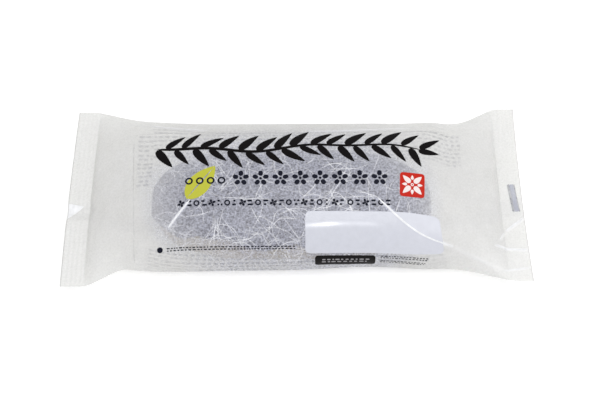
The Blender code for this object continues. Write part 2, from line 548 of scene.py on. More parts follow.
def paper_grain(material, size, contact):
    """Specks like paper's: strong where the dark eclair lies against the film, faint elsewhere."""
    paper = speckle(material, size, -0.27, 0.27)
    strength = add_node(
        material,
        "ShaderNodeMapRange",
        values={"To Min": 0.18, "To Max": 1.0},
        links={"Value": contact},
    )
    return add_node(
        material,
        "ShaderNodeMath",
        links={0: paper, 1: strength.outputs["Result"]},
        operation="MULTIPLY",
    ).outputs[0]


def film_cover(material, milkiness, grain, contact):
    """Share of the light that the film's white stops: milkiness, specks, clouds, haze, and a painted
    glint that whitens the folds.
    """
    # Film that stands clear of the eclair blurs it to nothing, so it is drawn denser there
    haze = add_node(
        material,
        "ShaderNodeMapRange",
        values={"To Min": 0.2, "To Max": 0.0},
        links={"Value": contact},
    )
    clouds = speckle(material, 9 * MM, -0.05, 0.05)
    # Painted highlight: the film is drawn whiter along its creases, for the lamp's glint there
    crease_glint = add_node(material, "ShaderNodeAttribute", attribute_name="crease_glint").outputs["Fac"]
    cover = add_node(
        material, "ShaderNodeMath", values={1: milkiness}, links={0: grain}, operation="ADD"
    )
    cover = add_node(
        material, "ShaderNodeMath", links={0: cover.outputs[0], 1: clouds}, operation="ADD"
    )
    cover = add_node(
        material,
        "ShaderNodeMath",
        links={0: cover.outputs[0], 1: haze.outputs["Result"]},
        operation="ADD",
    )
    return add_node(
        material,
        "ShaderNodeMath",
        values={1: 0.75},
        links={0: crease_glint, 2: cover.outputs[0]},
        operation="MULTIPLY_ADD",
        use_clamp=True,
    ).outputs[0]


def film_material(film):
    """Milky polypropylene film: clear film printed with white, which scatters and passes light."""
    # Printed, blown film looks like thin white paper: a soft, speckled veil with glossy bends
    material = new_material("milky_polypropylene_film")
    contact = add_node(material, "ShaderNodeAttribute", attribute_name="contact").outputs["Fac"]
    grain = paper_grain(material, film.grain, contact)
    cover = film_cover(material, film.milkiness, grain, contact)
    bump = add_node(
        material,
        "ShaderNodeBump",
        values={"Strength": 0.06, "Distance": 0.1 * MM},
        links={"Height": grain},
    )
    # Painted bluish cast where the film lies close to the dark eclair, for the light it scatters there
    shade = add_node(
        material,
        "ShaderNodeMix",
        values={6: opaque(film.clear), 7: opaque(film.close)},
        links={0: contact},
        data_type="RGBA",
    )
    white = add_node(
        material,
        "ShaderNodeBsdfPrincipled",
        values={"Roughness": 0.3, "IOR": 1.5},
        links={"Base Color": shade.outputs[2], "Normal": bump.outputs["Normal"]},
    )
    glow = add_node(
        material, "ShaderNodeBsdfTranslucent", values={"Color": opaque(film.passed)}
    )
    ink = add_node(
        material,
        "ShaderNodeMixShader",
        values={"Fac": 0.3},
        links={1: white.outputs["BSDF"], 2: glow.outputs["BSDF"]},
    )
    clear = add_node(
        material, "ShaderNodeBsdfTransparent", values={"Color": opaque(film.passed)}
    )
    surface = add_node(
        material,
        "ShaderNodeMixShader",
        links={0: cover, 1: clear.outputs["BSDF"], 2: ink.outputs["Shader"]},
    )
    add_node(material, "ShaderNodeOutputMaterial", links={"Surface": surface.outputs["Shader"]})
    return material


def thin_ink_material(name, colour, thinnest, densest, roughness=0.35, by_contact=False):
    """Ink printed so thin that the film shows through it, unevenly, as the rollers leave it.

    With by_contact it fades out where the film stands clear of the eclair.
    """
    material = new_material(name)
    density = speckle(material, 3 * MM, thinnest, densest)
    if by_contact:
        contact = add_node(material, "ShaderNodeAttribute", attribute_name="contact").outputs["Fac"]
        density = add_node(
            material,
            "ShaderNodeMath",
            links={0: density, 1: contact},
            operation="MULTIPLY",
        ).outputs[0]
    ink = add_node(
        material,
        "ShaderNodeBsdfPrincipled",
        values={"Base Color": opaque(colour), "Roughness": roughness, "IOR": 1.5},
    )
    clear = add_node(material, "ShaderNodeBsdfTransparent")
    surface = add_node(
        material,
        "ShaderNodeMixShader",
        links={0: density, 1: clear.outputs["BSDF"], 2: ink.outputs["BSDF"]},
    )
    add_node(material, "ShaderNodeOutputMaterial", links={"Surface": surface.outputs["Shader"]})
    return material


def ink_material(name, colour, roughness, thinnest, gloss=0.06):
    """Flexographic ink on film: full colour with slightly thinner specks, and the film's gloss."""
    material = new_material(name)
    density = speckle(material, 0.7 * MM, thinnest, 1.0)
    shade = add_node(
        material,
        "ShaderNodeMix",
        values={6: opaque([min(1.0, 1.15 * c + 0.004) for c in colour]), 7: opaque(colour)},
        links={0: density},
        data_type="RGBA",
    )
    surface = add_node(
        material,
        "ShaderNodeBsdfPrincipled",
        values={"Roughness": roughness, "IOR": 1.5, "Specular IOR Level": gloss},
        links={"Base Color": shade.outputs[2]},
    )
    add_node(material, "ShaderNodeOutputMaterial", links={"Surface": surface.outputs["BSDF"]})
    return material


def choux_material(eclair):
    """Baked choux crust: dry, browned on its ridges and paler in its cracks."""
    # Baked egg dough is dry and matt: tan ridges, paler hollows and fine pores
    material = new_material("baked_choux_crust")
    browning = speckle(material, 14 * MM, 0.0, 1.0, detail=6.0)
    pores = speckle(material, 1.2 * MM, 0.0, 1.0, detail=4.0)
    shade = add_node(
        material,
        "ShaderNodeMix",
        values={6: opaque(eclair.pale_crust), 7: opaque(eclair.crust)},
        links={0: browning},
        data_type="RGBA",
    )
    bump = add_node(
        material,
        "ShaderNodeBump",
        values={"Strength": 0.5, "Distance": 0.4 * MM},
        links={"Height": pores},
    )
    surface = add_node(
        material,
        "ShaderNodeBsdfPrincipled",
        values={"Roughness": 0.65, "IOR": 1.45},
        links={"Base Color": shade.outputs[2], "Normal": bump.outputs["Normal"]},
    )
    add_node(material, "ShaderNodeOutputMaterial", links={"Surface": surface.outputs["BSDF"]})
    return material


def icing_material(eclair):
    """Set chocolate icing: dark, with a dull sheen and a faint bloom."""
    # Set icing is nearly black brown, dull, with patches that shine a little more
    material = new_material("set_chocolate_icing")
    bloom = speckle(material, 7 * MM, 0.0, 1.0, detail=4.0)
    shade = add_node(
        material,
        "ShaderNodeMix",
        values={
            6: opaque(eclair.chocolate),
            7: opaque([1.5 * c + 0.004 for c in eclair.chocolate]),
        },
        links={0: bloom},
        data_type="RGBA",
    )
    sheen = add_node(
        material,
        "ShaderNodeMapRange",
        values={"To Min": 0.32, "To Max": 0.45},
        links={"Value": bloom},
    )
    bump = add_node(
        material,
        "ShaderNodeBump",
        values={"Strength": 0.25, "Distance": 0.3 * MM},
        links={"Height": bloom},
    )
    surface = add_node(
        material,
        "ShaderNodeBsdfPrincipled",
        values={"IOR": 1.48},
        links={
            "Base Color": shade.outputs[2],
            "Roughness": sheen.outputs["Result"],
            "Normal": bump.outputs["Normal"],
        },
    )
    add_node(material, "ShaderNodeOutputMaterial", links={"Surface": surface.outputs["BSDF"]})
    return material


def floor_material(stage):
    """Matt opal acrylic light table, lit a little from below so that shadows stay faint."""
    # Opal acrylic glows evenly, so the floor is white and the pack hardly shades it
    material = new_material("opal_acrylic_light_table")
    uneven = speckle(material, 60 * MM, 0.0, 1.0)
    shade = add_node(
        material,
        "ShaderNodeMix",
        values={6: opaque([0.985 * c for c in stage.floor]), 7: opaque(stage.floor)},
        links={0: uneven},
        data_type="RGBA",
    )
    surface = add_node(
        material,
        "ShaderNodeBsdfPrincipled",
        values={
            "Roughness": 0.9,
            "Emission Color": (1.0, 1.0, 1.0, 1.0),
            "Emission Strength": stage.glow,
        },
        links={"Base Color": shade.outputs[2]},
    )
    add_node(material, "ShaderNodeOutputMaterial", links={"Surface": surface.outputs["BSDF"]})
    return material


def add_piece(name, bm, material):
    """Makes the bmesh an object of the part, which moves with its one body."""
    mesh = bpy.data.meshes.new(name)
    bm.to_mesh(mesh)
    bm.free()
    mesh.shade_smooth()
    mesh.materials.append(material)
    piece = bpy.data.objects.new(name, mesh)
    bpy.context.scene.collection.objects.link(piece)
    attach(piece, "root")
    return piece


def along_the_pack(share):
    """Spreads -1 to 1 over the pack's length, closer together in the seals."""
    body_share = 1.0 - SEAL_SHARE
    if abs(share) <= body_share:
        return INNER_END * share / body_share
    into_seal = (abs(share) - body_share) / SEAL_SHARE
    return math.copysign(INNER_END + SEAL_LENGTH * into_seal, share)


def lay_shape(bm, shape, steps, centre, turned=0.0, lift=INK_LIFT):
    """Lays a grid on the film round centre, in film mm. shape(u, v) places its points in mm."""
    grid = bmesh.ops.create_grid(bm, x_segments=steps[0], y_segments=steps[1], size=1.0)
    cosine, sine = math.cos(turned), math.sin(turned)
    for vert in grid["verts"]:
        along, across = shape(vert.co.x, vert.co.y)
        x = centre[0] + along * cosine - across * sine
        film_across = centre[1] + along * sine + across * cosine
        vert.co = on_film(x * MM, film_across * MM, lift)


def mark_contact(bm):
    """Gives each point 1 where it lies close to the eclair, falling to 0 where it stands clear."""
    graph = bpy.context.evaluated_depsgraph_get()
    pieces = [bpy.data.objects[name] for name in ("choux_shell", "chocolate_icing")]
    surfaces = [BVHTree.FromObject(piece, graph) for piece in pieces]
    contact = bm.verts.layers.float.new("contact")
    for vert in bm.verts:
        gap = min(surface.find_nearest(vert.co)[3] for surface in surfaces)
        vert[contact] = min(max((CLEAR_GAP - gap) / (CLEAR_GAP - CLOSE_GAP), 0.0), 1.0)


def bar_shape(length, width, radius):
    """A rectangle with round corners."""

    def shape(u, v):
        reach = max(abs(u), abs(v))
        if reach == 0.0:
            return 0.0, 0.0
        along, across = abs(u) / reach * length / 2, abs(v) / reach * width / 2
        past_along = along - (length / 2 - radius)
        past_across = across - (width / 2 - radius)
        if past_along > 0.0 and past_across > 0.0:
            shrink = radius / math.hypot(past_along, past_across)
            shrink *= max(past_along, past_across) / radius
            along = length / 2 - radius + past_along * shrink
            across = width / 2 - radius + past_across * shrink
        return math.copysign(along * reach, u), math.copysign(across * reach, v)

    return shape


def leaf_shape(length, width, bend=0.0):
    """A brush dab: widest a third of the way along, drawn out to a point, bent to one side."""

    def shape(u, v):
        t = 0.5 + 0.5 * u
        side = width / 2 * math.sin(math.pi * t**0.62) ** 0.75
        return length * t, v * side + bend * length * t * t

    return shape


def ring_shape(radius, thickness):
    """A ring drawn with an even pen."""

    def shape(u, v):
        r = radius + v * thickness / 2
        return r * math.cos(math.pi * u), -r * math.sin(math.pi * u)

    return shape


def stroke_shape(points, widths):
    """A brush stroke through points, as wide at each as widths says, with round ends."""

    def shape(u, v):
        t = 0.5 + 0.5 * u
        place = t * (len(points) - 1)
        i = min(int(place), len(points) - 2)
        part = place - i
        (x0, y0), (x1, y1) = points[i], points[i + 1]
        dx, dy = x1 - x0, y1 - y0
        size = math.hypot(dx, dy)
        width = widths[i] * (1.0 - part) + widths[i + 1] * part
        width *= math.sqrt(max(0.0, 1.0 - abs(u) ** 10))
        x, y = x0 + dx * part, y0 + dy * part
        return x - dy / size * v * width / 2, y + dx / size * v * width / 2

    return shape


def choux_point(eclair, share, angle, lift=0.0):
    """A point of the shell: share runs from end to end, angle round it from the far side up."""
    along = math.sin(math.pi / 2 * share)
    fullness = max(0.0, 1.0 - abs(along) ** 3.4) ** 0.42
    x = ECLAIR_MIDDLE.x + along * (eclair.length / 2 + lift)
    bulge = 1.0 + 0.03 * noise.noise(Vector((x / (17 * MM), 3.0, 0.0)))
    y = math.cos(angle) * (eclair.width / 2 + lift) * fullness * bulge
    upper = eclair.height + ECLAIR_BOTTOM - ECLAIR_WAIST
    lower = ECLAIR_WAIST - ECLAIR_BOTTOM
    rise = math.sin(angle)
    if rise >= 0.0:
        z = ECLAIR_WAIST + rise * (upper * (0.25 + 0.75 * fullness) * fullness**0.3 + lift)
    else:
        z = ECLAIR_WAIST - (-rise) ** 0.6 * lower * fullness**0.5
    sag = (1.0 - fullness) * 1.5 * MM
    place = Vector((x, ECLAIR_MIDDLE.y + y, z - sag * max(0.0, rise)))
    crags = noise.fractal(place / (6 * MM), 1.0, 2.0, 3) * 0.35 * MM
    cracks = -max(0.0, noise.noise(Vector((x / (9 * MM), y / (2.2 * MM), 5.0))) - 0.25) * 1.2 * MM
    outward = Vector((0.3 * along, math.cos(angle), rise)).normalized()
    place += outward * (crags + cracks) * fullness
    place.z = max(place.z, ECLAIR_BOTTOM)
    return place


def icing_edge(x, near):
    """Angle over the shell's waist at which the icing's wavy edge lies."""
    wave = noise.noise(Vector((x / (9 * MM), 20.0 if near else 40.0, 0.0)))
    if not near:
        return math.radians(24.0 + 8.0 * wave)
    bare = sum(
        rise * math.exp(-(((x - middle) / reach) ** 2)) for middle, reach, rise in BARE_PATCHES
    )
    return math.radians(20.0 + 5.0 * wave + bare)


def branch_course(x):
    """Height of the branch's wavy stem in the print, in film mm."""
    return 13.2 + 1.7 * math.sin(x / 15.0) + 0.8 * math.sin(x / 6.3 + 1.0)


def merge_seams(bm):
    """Joins the points where a ring or a leaf's tip meets itself."""
    bmesh.ops.remove_doubles(bm, verts=bm.verts, dist=0.004 * MM)


def lay_blossom(bm, centre, radius, petals, lift):
    """A plain blossom: round petals about a dot."""
    petal = 1.25 * math.pi * radius / (petals + 2)
    for i in range(petals):
        angle = math.tau * (i + 0.25) / petals
        place = (
            centre[0] + (radius - petal * 0.6) * math.cos(angle),
            centre[1] + (radius - petal * 0.6) * math.sin(angle),
        )
        lay_shape(bm, bar_shape(1.25 * petal, petal, petal / 2), (6, 4), place, angle, lift)
    lay_shape(bm, bar_shape(0.6 * petal, 0.6 * petal, 0.3 * petal), (4, 4), centre, 0.0, lift)


def lay_dashes(bm, rng, first, last, across, height, rows, lift):
    """Rows of fine dashes of uneven length, from first to last along the film."""
    thickness = height / (2 * rows - 1)
    for row in range(rows):
        level = across + height / 2 - thickness / 2 - 2 * thickness * row
        x = first + rng.uniform(0.0, 0.3) * height
        while x < last - 0.3 * height:
            size = min(rng.uniform(0.3, 0.9) * height, last - x)
            shape = bar_shape(size, thickness, 0.3 * thickness)
            lay_shape(bm, shape, (3, 2), (x + size / 2, level), 0.0, lift)
            x += size + rng.uniform(0.2, 0.4) * height


def lay_border(bm, rng, first, pitch, count, across, height, lift):
    """A border of small ornaments in turn: four-petalled blossom, dashes, ring and dashes."""
    for i in range(count):
        x = first + pitch * (i + 0.5)
        if i % 4 == 0:
            lay_blossom(bm, (x, across), height / 2, 4, lift)
        elif i % 4 == 2:
            lay_shape(bm, ring_shape(0.32 * height, 0.2 * height), (14, 1), (x, across), 0.0, lift)
        else:
            reach = 0.8 * pitch / 2
            lay_dashes(bm, rng, x - reach, x + reach, across, 0.8 * height, 2, lift)


class ECLAIR_OT_film(bpy.types.Operator):
    """Wraps the pack's film: a tube of film, flat and crimped at both ends."""

    bl_idname = "eclair.film"
    bl_label = "Film"

    def execute(self, context):
        bm = bmesh.new()
        bmesh.ops.create_grid(
            bm, x_segments=FILM_STEPS_ALONG, y_segments=FILM_STEPS_ROUND, size=1.0
        )
        crease_glint = bm.verts.layers.float.new("crease_glint")
        for vert in bm.verts:
            turn = vert.co.y
            vert.co = film_point(along_the_pack(vert.co.x), turn)
            if abs(turn) < 0.5:
                # Strength of the painted glint along the creases, which whitens the film there
                vert[crease_glint] = crease_at(vert.co.x, vert.co.y)[1]
        mark_contact(bm)
        bmesh.ops.remove_doubles(bm, verts=bm.verts, dist=0.005 * MM)
        bmesh.ops.recalc_face_normals(bm, faces=bm.faces)
        film = add_piece("film_skin", bm, film_material(context.scene.eclair_film))
        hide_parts(PACK_NODE)
        return {"FINISHED"}


class ECLAIR_OT_fibres(bpy.types.Operator):
    """Prints the film all over with curling paper fibres, some of them in tufts."""

    bl_idname = "eclair.fibres"
    bl_label = "Fibres"

    def execute(self, context):
        settings = context.scene.eclair_film
        rng = random.Random(7)
        bm = bmesh.new()
        for i in range(settings.fibre_count):
            if i % 4:
                across = rng.uniform(TOP_FIELD[0] + 1, TOP_FIELD[1] - 1)
            else:
                across = rng.choice((-1, 1)) * rng.uniform(BACK_FIELD[0] + 2, BACK_FIELD[1] - 3)
            start = rng.uniform(1 - FIELD_END, FIELD_END - 1), across
            self.add_fibre(bm, rng, start, rng.uniform(0, math.tau), settings.fibre_width / MM)
        for _ in range(TUFT_COUNT):
            tuft = rng.uniform(-60, 60), rng.uniform(-36, 20)
            heading = rng.uniform(0, math.tau)
            for _ in range(FIBRES_IN_TUFT):
                start = tuft[0] + rng.gauss(0, 2.5), tuft[1] + rng.gauss(0, 2.5)
                way = heading + rng.gauss(0, 0.35)
                self.add_fibre(bm, rng, start, way, 1.25 * settings.fibre_width / MM)
        mark_contact(bm)
        # White ink in hair-thin curls shines out over the dark icing and is lost over white film
        white = linear("f6f7fc")
        material = thin_ink_material("white_fibre_print", white, 0.3, 0.85, by_contact=True)
        add_piece("film_fibres", bm, material)
        return {"FINISHED"}

    def add_fibre(self, bm, rng, start, heading, width):
        """One fibre: a narrow strip along a wandering course that bends ever more one way."""
        x, across = start
        course = [(x, across)]
        curl = rng.gauss(0, 0.1)
        for _ in range(rng.randint(7, 26)):
            curl = 0.93 * curl + rng.gauss(0, 0.05)
            heading += curl
            x += FIBRE_STEP * math.cos(heading)
            across += FIBRE_STEP * math.sin(heading)
            on_top = TOP_FIELD[0] < across < TOP_FIELD[1]
            on_back = BACK_FIELD[0] < abs(across) < BACK_FIELD[1]
            if abs(x) > FIELD_END or not (on_top or on_back):
                break
            course.append((x, across))
        if len(course) < 6:
            return
        middle = width * rng.uniform(0.55, 1.0)
        widths = [
            middle * (0.35 + 0.65 * math.sin(math.pi * i / len(course)))
            for i in range(len(course))
        ]
        lay_shape(bm, stroke_shape(course, widths), (len(course) - 1, 1), (0, 0), lift=FIBRE_LIFT)


class ECLAIR_OT_choux(bpy.types.Operator):
    """Models the baked choux shell, flat below and crowned above."""

    bl_idname = "eclair.choux"
    bl_label = "Choux shell"

    def execute(self, context):
        bm = bmesh.new()
        bmesh.ops.create_uvsphere(bm, u_segments=96, v_segments=150, radius=1.0)
        for vert in bm.verts:
            tilt = math.acos(max(-1.0, min(1.0, vert.co.z)))
            angle = math.atan2(vert.co.y, vert.co.x)
            vert.co = choux_point(context.scene.eclair_food, 1.0 - 2.0 * tilt / math.pi, angle)
        add_piece("choux_shell", bm, choux_material(context.scene.eclair_food))
        return {"FINISHED"}


class ECLAIR_OT_icing(bpy.types.Operator):
    """Spreads the chocolate icing over the shell's crown, down to a wavy edge."""

    bl_idname = "eclair.icing"
    bl_label = "Icing"

    def execute(self, context):
        eclair = context.scene.eclair_food
        bm = bmesh.new()
        bmesh.ops.create_grid(bm, x_segments=160, y_segments=70, size=1.0)
        for vert in bm.verts:
            u, v = vert.co.x, vert.co.y
            share = ICING_SHARE * u
            x = ECLAIR_MIDDLE.x + math.sin(math.pi / 2 * share) * eclair.length / 2
            far, near = icing_edge(x, False), math.pi - icing_edge(x, True)
            angle = far + (near - far) * (0.5 + 0.5 * v)
            inside = min(1.0, (1.0 - abs(u)) * 12.0, (1.0 - abs(v)) * 7.0)
            thickness = eclair.icing * math.sqrt(1.0 - (1.0 - inside) ** 2) - 0.5 * MM * (1.0 - inside)
            vert.co = choux_point(eclair, share, angle, thickness)
        bmesh.ops.recalc_face_normals(bm, faces=bm.faces)
        icing = add_piece("chocolate_icing", bm, icing_material(eclair))
        body = icing.modifiers.new("body", "SOLIDIFY")
        body.thickness = ICING_DEPTH
        body.offset = -1.0
        return {"FINISHED"}


class ECLAIR_OT_fin(bpy.types.Operator):
    """Folds the back fin, where the web's two edges are sealed together, flat under the pack."""

    bl_idname = "eclair.fin"
    bl_label = "Back fin"

    def execute(self, context):
        bm = bmesh.new()
        bmesh.ops.create_grid(bm, x_segments=180, y_segments=8, size=1.0)
        for vert in bm.verts:
            x = vert.co.x * (HALF_LENGTH - 0.5 * MM)
            y = FIN_MIDDLE + vert.co.y * FIN_WIDTH / 2
            vert.co = self.under_film(x, y, FIN_GAP)
        bmesh.ops.reverse_faces(bm, faces=bm.faces)
        # The unprinted edge of the web is nearly clear, with a trace of white haze
        white = context.scene.eclair_film.clear
        material = thin_ink_material("clear_polypropylene_fin", white, 0.1, 0.25)
        fin = add_piece("back_fin", bm, material)
        body = fin.modifiers.new("layers", "SOLIDIFY")
        body.thickness = FIN_THICKNESS
        body.offset = -1.0
        return {"FINISHED"}

    def under_film(self, x, y, gap):
        """The place a gap below the back film at x, y, found by halving the turn."""
        low, high = -1.0, -0.5
        for _ in range(24):
            middle = (low + high) / 2
            if film_point(x, middle).y > y:
                low = middle
            else:
                high = middle
        point = film_point(x, low)
        return Vector((point.x, y, max(0.06 * MM, point.z - gap)))


class ECLAIR_OT_branch(bpy.types.Operator):
    """Prints a bold brush-drawn branch with leaves on both sides along the top of the pack."""

    bl_idname = "eclair.branch"
    bl_label = "Brush-drawn branch"

    def execute(self, context):
        rng = random.Random(11)
        bm = bmesh.new()
        course = [(x, branch_course(x)) for x in range(BRANCH_START, BRANCH_END, 3)]
        widths = [1.8 - 0.8 * i / len(course) for i in range(len(course))]
        lay_shape(bm, stroke_shape(course, widths), (3 * len(course), 2), (0, 0))
        for i in range(BRANCH_LEAVES):
            x = BRANCH_START + LEAF_PITCH * i + rng.uniform(-0.7, 0.7)
            side = 1 if i % 2 else -1
            slope = math.atan(branch_course(x + 1) - branch_course(x))
            heading = slope + side * math.radians(rng.uniform(38, 62))
            size = rng.uniform(10.0, 12.5)
            shape = leaf_shape(size, size * rng.uniform(0.28, 0.34), -0.12 * side)
            lay_shape(bm, shape, (18, 6), (x, branch_course(x) + side * 0.4), heading)
        tip = (BRANCH_END - 4.0, branch_course(BRANCH_END))
        lay_shape(bm, leaf_shape(9.0, 3.2), (18, 6), tip, math.radians(-8))
        merge_seams(bm)
        # Black brush-like print is matt and full, with specks that are hardly thinner
        material = ink_material("black_film_ink", context.scene.eclair_print.black, 0.45, 0.9)
        add_piece("print_branch", bm, material)
        return {"FINISHED"}


class ECLAIR_OT_rows(bpy.types.Operator):
    """Prints the rows of small dark ornaments: blossoms, rings, dots and fine dashes."""

    bl_idname = "eclair.rows"
    bl_label = "Rows of ornaments"

    def execute(self, context):
        rng = random.Random(5)
        bm = bmesh.new()
        over = 1.5 * INK_LIFT
        for i in range(8):
            place = (BLOSSOM_ROW[0] + BLOSSOM_PITCH * i, BLOSSOM_ROW[1])
            lay_blossom(bm, place, BLOSSOM_RADIUS, 5, over)
        for i in range(4):
            place = (RING_ROW[0] + RING_PITCH * i, RING_ROW[1])
            lay_shape(bm, ring_shape(1.3, 0.75), (20, 1), place, 0.0, over)
        lay_border(bm, rng, BORDER_ROW[0], BORDER_PITCH, 28, BORDER_ROW[1], BORDER_HEIGHT, over)
        lay_shape(bm, bar_shape(2.4, 2.6, 1.2), (6, 6), DOT_PLACE, 0.0, over)
        lay_dashes(bm, rng, -54.6, -0.3, -33.0, 1.6, 2, over)
        lay_dashes(bm, rng, 35.6, 56.0, -38.0, 1.5, 2, over)
        lay_dashes(bm, rng, 35.6, 55.0, -41.0, 1.5, 2, over)
        merge_seams(bm)
        # A thinner black with a blue cast gives the small marks their softer look
        blue_black = context.scene.eclair_print.blue_black
        material = ink_material("blue_black_film_ink", blue_black, 0.4, 0.8)
        add_piece("print_rows", bm, material)
        return {"FINISHED"}


class ECLAIR_OT_leaf(bpy.types.Operator):
    """Prints the yellow-green leaf, in two halves beside a bare midrib."""

    bl_idname = "eclair.leaf"
    bl_label = "Leaf"

    def execute(self, context):
        bm = bmesh.new()
        for side in (1, -1):
            lay_shape(bm, self.half_leaf(*LEAF_SIZE, side), (20, 5), LEAF_PLACE, LEAF_TURN)
        merge_seams(bm)
        # Yellow-green ink over a white base stays bright over the dark icing
        material = ink_material("yellow_green_film_ink", context.scene.eclair_print.green, 0.4, 0.7)
        add_piece("print_leaf", bm, material)
        return {"FINISHED"}

    def half_leaf(self, length, width, side):
        """One half of a leaf, from just beside its midrib to its edge."""

        def shape(u, v):
            t = 0.5 + 0.5 * u
            outer = width / 2 * math.sin(math.pi * t**0.8) ** 0.8
            inner = 0.3 * math.sin(math.pi * t)
            share = 0.5 + 0.5 * v * side
            return length * t, side * (inner + (outer - inner) * share)

        return shape


class ECLAIR_OT_stamp(bpy.types.Operator):
    """Prints the red stamp: a rounded square with a bare four-leaved ornament."""

    bl_idname = "eclair.stamp"
    bl_label = "Stamp"

    def execute(self, context):
        colours = context.scene.eclair_print
        bm = bmesh.new()
        lay_shape(bm, bar_shape(*STAMP_SIZE, 1.3), (16, 16), STAMP_PLACE, STAMP_TURN)
        # Vermilion ink, full and matt, a little uneven like a pad's
        add_piece("print_stamp", bm, ink_material("red_film_ink", colours.red, 0.4, 0.75))
        bm = bmesh.new()
        for i in range(4):
            angle = STAMP_TURN + math.radians(45 + 90 * i)
            self.lay_spoke(bm, angle, 1.1, leaf_shape(4.6, 2.3))
            self.lay_spoke(bm, angle - math.radians(45), 2.2, leaf_shape(2.2, 1.3))
        ring = ring_shape(0.5, 0.4)
        lay_shape(bm, ring, (12, 1), STAMP_PLACE, STAMP_TURN, OVERPRINT_LIFT)
        merge_seams(bm)
        # The white base left bare in the stamp, tinged by the red round it
        material = ink_material("white_stamp_ink", linear("f0e4e2"), 0.4, 0.8)
        add_piece("print_stamp_ornament", bm, material)
        return {"FINISHED"}

    def lay_spoke(self, bm, angle, distance, shape):
        """One petal of the ornament, pointing outwards."""
        x = STAMP_PLACE[0] + distance * math.cos(angle)
        across = STAMP_PLACE[1] + distance * math.sin(angle)
        lay_shape(bm, shape, (10, 4), (x, across), angle, OVERPRINT_LIFT)


class ECLAIR_OT_label(bpy.types.Operator):
    """Prints the opaque white label panel, the black bar under it and the mark on the seal."""

    bl_idname = "eclair.label"
    bl_label = "Label and bar"

    def execute(self, context):
        colours = context.scene.eclair_print
        rng = random.Random(3)
        bm = bmesh.new()
        lay_shape(bm, self.slanted_bar(*LABEL_SIZE, 2.2), (90, 30), LABEL_PLACE)
        # Several coats of white hide the icing and lie smooth, so the lamp shows in them
        material = thin_ink_material("dense_white_ink", colours.white, 0.9, 0.95, roughness=0.16)
        add_piece("print_label", bm, material)
        bm = bmesh.new()
        lay_shape(bm, bar_shape(*BAR_SIZE, 1.3), (40, 10), BAR_PLACE)
        # The bar's black is slightly glossier than the branch's and greys where it faces the light
        add_piece("print_bar", bm, ink_material("black_bar_ink", colours.black, 0.35, 0.85))
        bm = bmesh.new()
        lay_dashes(bm, rng, 10.8, 31.2, BAR_PLACE[1], 2.3, 2, OVERPRINT_LIFT)
        # Fine white dashes fill in with black, so they read as grey
        material = ink_material("white_dash_ink", linear("969497"), 0.35, 0.7)
        add_piece("print_bar_dashes", bm, material)
        bm = bmesh.new()
        lay_shape(bm, bar_shape(1.1, MARK_LENGTH, 0.25), (6, 20), (95.0, MARK_ROW), MARK_TURN)
        lay_shape(bm, bar_shape(0.5, MARK_LENGTH, 0.2), (3, 20), (97.6, MARK_ROW), MARK_TURN)
        # Thin grey ink lets the white seal show through, darker at the mark's edges
        material = thin_ink_material("grey_register_ink", linear("8e909e"), 0.3, 0.6)
        add_piece("seal_mark_edges", bm, material)
        bm = bmesh.new()
        lay_shape(bm, bar_shape(1.8, MARK_LENGTH, 0.25), (8, 20), (96.45, MARK_ROW), MARK_TURN)
        # Its middle is a paler, bluish grey
        material = thin_ink_material("pale_register_ink", colours.grey, 0.5, 0.75)
        add_piece("seal_mark_middle", bm, material)
        return {"FINISHED"}

    def slanted_bar(self, length, width, radius):
        """A rectangle with round corners, whose far end is cut on a slant."""
        straight = bar_shape(length, width, radius)

        def shape(u, v):
            along, across = straight(u, v)
            across *= 1.0 - 0.18 * max(0.0, u) ** 3
            return along - 1.3 * max(0.0, u) * (0.35 + across / (width / 2)), across

        return shape


class ECLAIR_OT_back_print(bpy.types.Operator):
    """Prints rows of dashes inside the pack's back, and the faint frame of the front's print."""

    bl_idname = "eclair.back_print"
    bl_label = "Back print and frame"

    def execute(self, context):
        rng = random.Random(9)
        inside = -0.1 * MM
        bm = bmesh.new()
        for side in (1, -1):
            for i in range(4):
                last = 76.0 if side > 0 else 66.0
                row = side * (49.0 + 3.9 * i)
                lay_dashes(bm, rng, BACK_ROWS_START, last, row, 2.8, 2, inside)
        for i in range(6):
            lay_dashes(bm, rng, -73.0, BACK_ROWS_START, 53.0 + 4.4 * i, 3.0, 2, inside)
        # Dark ink on the back is seen only as faint grey rows through the milky front
        material = thin_ink_material("grey_back_ink", linear("1f2025"), 0.8, 1.0)
        add_piece("back_print", bm, material)
        bm = bmesh.new()
        left = [(-71.1, 22.0), (-69.4, -2.8), (-68.3, -24.0), (-68.5, -38.0)]
        lay_shape(bm, stroke_shape(left, [0.5] * 4), (60, 1), (0, 0))
        far = [(-71.0, 24.6), (-62.0, 24.2), (-35.0, 22.6), (15.0, 22.6), (68.6, 25.2)]
        lay_shape(bm, stroke_shape(far, [0.5] * 5), (120, 1), (0, 0))
        # The frame's grey is so thin that it is hardly darker than the film
        material = thin_ink_material("pale_frame_ink", linear("b4b4b6"), 0.03, 0.22)
        add_piece("print_frame", bm, material)
        return {"FINISHED"}


